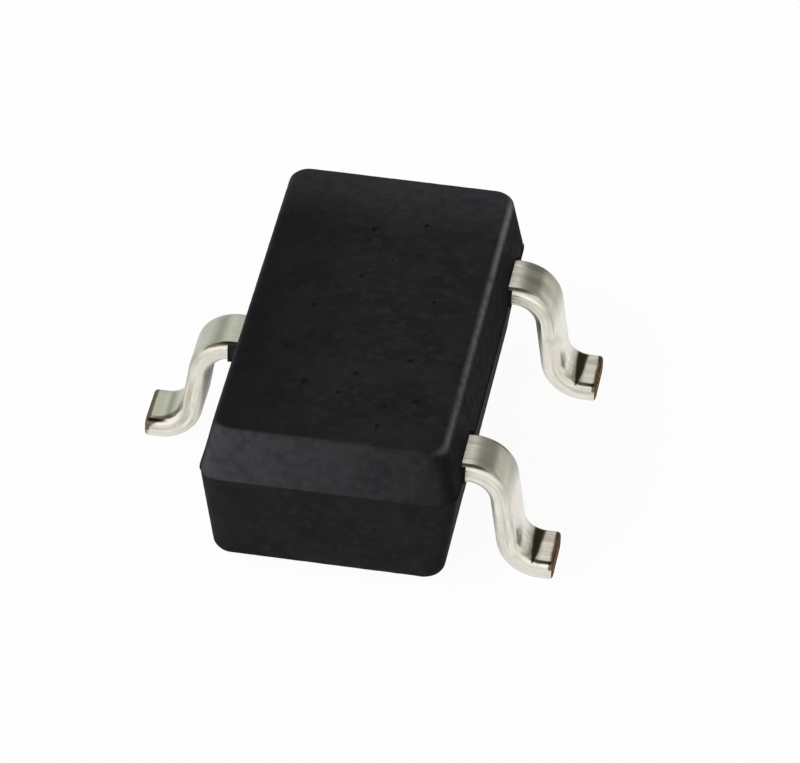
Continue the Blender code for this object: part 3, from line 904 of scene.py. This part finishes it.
# FLOOR AND LIGHT
# A plain white sheet. A broad soft light stands in front on the left, and the studio is dim overhead and
# behind on the right.
FLOOR_SIZE = 0.5
WHITENESS = 0.95
KEY_DIRECTION = Vector((-0.72, -0.42, 0.55))
KEY_STRENGTH = 2.0
KEY_SPREAD = math.radians(50)

bpy.ops.mesh.primitive_plane_add(size=FLOOR_SIZE, location=(0.0, 0.0, -HAIR))
floor = bpy.context.object
floor.name = "floor"


def paper():
    """White paper. The camera and reflections see it nearly plain white, with a faint shadow on it."""
    made = bpy.data.materials.new("paper")
    made.use_nodes = True
    tree = made.node_tree
    lit = tree.nodes["Principled BSDF"]
    lit.inputs["Base Color"].default_value = (0.93, 0.93, 0.93, 1.0)
    lit.inputs["Roughness"].default_value = 0.9
    white = tree.nodes.new("ShaderNodeEmission")
    ray = tree.nodes.new("ShaderNodeLightPath")
    seen = ray.outputs["Is Camera Ray"]
    for other in ("Is Glossy Ray", "Is Transmission Ray"):
        either = tree.nodes.new("ShaderNodeMath")
        either.operation = "MAXIMUM"
        tree.links.new(seen, either.inputs[0])
        tree.links.new(ray.outputs[other], either.inputs[1])
        seen = either.outputs[0]
    share = tree.nodes.new("ShaderNodeMath")
    share.operation = "MULTIPLY"
    share.inputs[1].default_value = WHITENESS
    tree.links.new(seen, share.inputs[0])
    both = tree.nodes.new("ShaderNodeMixShader")
    tree.links.new(share.outputs[0], both.inputs[0])
    tree.links.new(lit.outputs[0], both.inputs[1])
    tree.links.new(white.outputs[0], both.inputs[2])
    tree.links.new(both.outputs[0], tree.nodes["Material Output"].inputs["Surface"])
    return made


floor.data.materials.append(paper())

bpy.ops.object.light_add(type="SUN", rotation=KEY_DIRECTION.to_track_quat("Z", "Y").to_euler())
key = bpy.context.object
key.data.energy = KEY_STRENGTH
key.data.angle = KEY_SPREAD
key.visible_glossy = False


def toward(azimuth, elevation):
    """A direction from the sensor. Azimuth 0 is straight behind it, and a positive one is to the right."""
    a, e = math.radians(azimuth), math.radians(elevation)
    return Vector((math.sin(a) * math.cos(e), math.cos(a) * math.cos(e), math.sin(e)))


def patch(tree, place, direction, outer, inner):
    """One inside a cone round a direction, fading to nothing between two angles in degrees."""
    along = tree.nodes.new("ShaderNodeVectorMath")
    along.operation = "DOT_PRODUCT"
    along.inputs[1].default_value = direction
    tree.links.new(place, along.inputs[0])
    return rise(tree, along.outputs["Value"], math.cos(math.radians(outer)), math.cos(math.radians(inner)))


world = bpy.data.worlds.new("studio")
world.use_nodes = True
bpy.context.scene.world = world
tree = world.node_tree
around = tree.nodes.new("ShaderNodeTexCoord").outputs["Generated"]
height = tree.nodes.new("ShaderNodeSeparateXYZ")
tree.links.new(around, height.inputs[0])
walls = mix(tree, rise(tree, height.outputs["Z"], 0.0, 0.45), (1.0, 0.99, 0.97), (0.45, 0.45, 0.43))
walls = mix(tree, patch(tree, around, toward(205, 20), 105, 60), walls, (1.30, 1.29, 1.27))
walls = mix(tree, rise(tree, height.outputs["Z"], 0.68, 0.88), walls, (0.06, 0.06, 0.06))
walls = mix(tree, patch(tree, around, toward(-12, 40), 24, 6), walls, (1.08, 1.07, 1.04))
walls = mix(tree, patch(tree, around, toward(21, 23), 35, 8), walls, (0.22, 0.22, 0.19))
walls = mix(tree, patch(tree, around, toward(38, 5), 18, 8), walls, (0.72, 0.71, 0.66))
tree.links.new(walls, tree.nodes["Background"].inputs["Color"])

bpy.context.scene.view_settings.view_transform = "Standard"
